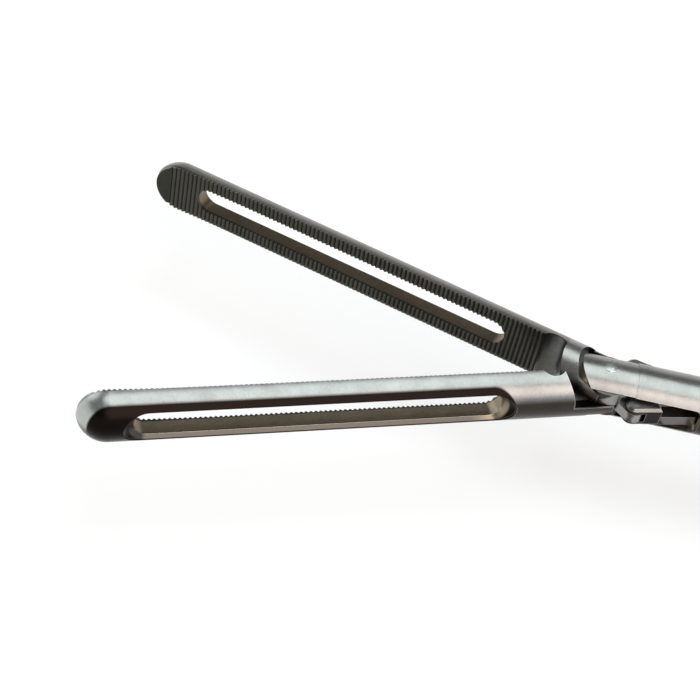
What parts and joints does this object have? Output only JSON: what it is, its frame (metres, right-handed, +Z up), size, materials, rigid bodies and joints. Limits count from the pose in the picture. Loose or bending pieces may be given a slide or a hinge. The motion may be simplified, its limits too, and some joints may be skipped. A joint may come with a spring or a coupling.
{
  "type": "bowel grasper",
  "caption": "Laparoscopic bowel grasper with long windowed, finely serrated jaws on a slim steel shaft, worked by a ring handle and a turning knob.",
  "frame": {"origin": "jaw pivot, on the axis of the shaft", "axes": "+X along the shaft toward the handle, +Z up along the pivot pin as the instrument lies on its side"},
  "size_m": [0.4521, 0.1048, 0.0204],
  "materials": {
    "jaw_steel": "fine bead-blasted stainless steel",
    "tip_steel": "fine bead-blasted stainless steel",
    "pin_steel": "ground stainless steel",
    "tube_steel": "satin stainless tube",
    "screw_steel": "plain stainless steel",
    "bush_metal": "turned bearing bronze",
    "guide_plastic": "white bearing plastic",
    "seal_rubber": "grey silicone rubber",
    "knob_plastic": "black moulded plastic, fine matt",
    "handle_plastic": "black moulded plastic, fine matt"
  },
  "bodies": {
    "handle": {"handle_body": "handle_plastic", "handle_cover": "handle_plastic", "cover_screws": "screw_steel", "lever_pin": "pin_steel"},
    "shaft": {"outer_tube": "tube_steel", "clevis": "tip_steel", "jaw_pivot_pin": "pin_steel", "rod_guide": "guide_plastic", "rod_seal": "seal_rubber", "rotation_knob": "knob_plastic", "knob_set_screws": "screw_steel", "retaining_ring": "screw_steel"},
    "right_jaw": {"right_jaw": "jaw_steel"},
    "left_jaw": {"left_jaw": "jaw_steel"},
    "rod": {"push_rod": "tube_steel", "rod_fork": "tip_steel", "rod_fork_pin": "pin_steel", "rod_ball": "pin_steel"},
    "right_link": {"right_link": "tip_steel", "right_link_pin": "pin_steel"},
    "left_link": {"left_link": "tip_steel", "left_link_pin": "pin_steel"},
    "thumb_lever": {"thumb_lever": "handle_plastic", "lever_bush": "bush_metal"}
  },
  "joints": [
    {"name": "shaft_turn", "type": "hinge", "parent": "handle", "child": "shaft", "pos_m": [0.3066, 0, 0], "axis": [1, 0, 0], "continuous": true},
    {"name": "lever_squeeze", "type": "hinge", "parent": "handle", "child": "thumb_lever", "pos_m": [0.3439, -0.0055, 0], "axis": [0, 0, 1], "range_deg": [-9.58, 0]},
    {"name": "rod_slide", "type": "slide", "parent": "shaft", "child": "rod", "axis": [1, 0, 0], "range_m": [0, 0.00091849]},
    {"name": "right_jaw_hinge", "type": "hinge", "parent": "shaft", "child": "right_jaw", "pos_m": [0, 0, 0], "axis": [0, 0, 1], "range_deg": [0, 18.28]},
    {"name": "left_jaw_hinge", "type": "hinge", "parent": "shaft", "child": "left_jaw", "pos_m": [0, 0, 0], "axis": [0, 0, 1], "range_deg": [-19.98, 0]},
    {"name": "right_link_hinge", "type": "hinge", "parent": "rod", "child": "right_link", "pos_m": [0.01066, 0, 0], "axis": [0, 0, 1], "range_deg": [-6.28, 0]},
    {"name": "left_link_hinge", "type": "hinge", "parent": "rod", "child": "left_link", "pos_m": [0.01066, 0, 0], "axis": [0, 0, 1], "range_deg": [0, 6.59]}
  ],
  "couplings": [
    {"joint": "rod_slide", "follows": "lever_squeeze", "m_per_rad": -0.0054936},
    {"joint": "right_jaw_hinge", "follows": "lever_squeeze", "ratio": -1.9088},
    {"joint": "left_jaw_hinge", "follows": "lever_squeeze", "ratio": 2.0863},
    {"joint": "right_link_hinge", "follows": "lever_squeeze", "ratio": 0.65515},
    {"joint": "left_link_hinge", "follows": "lever_squeeze", "ratio": -0.68814}
  ]
}
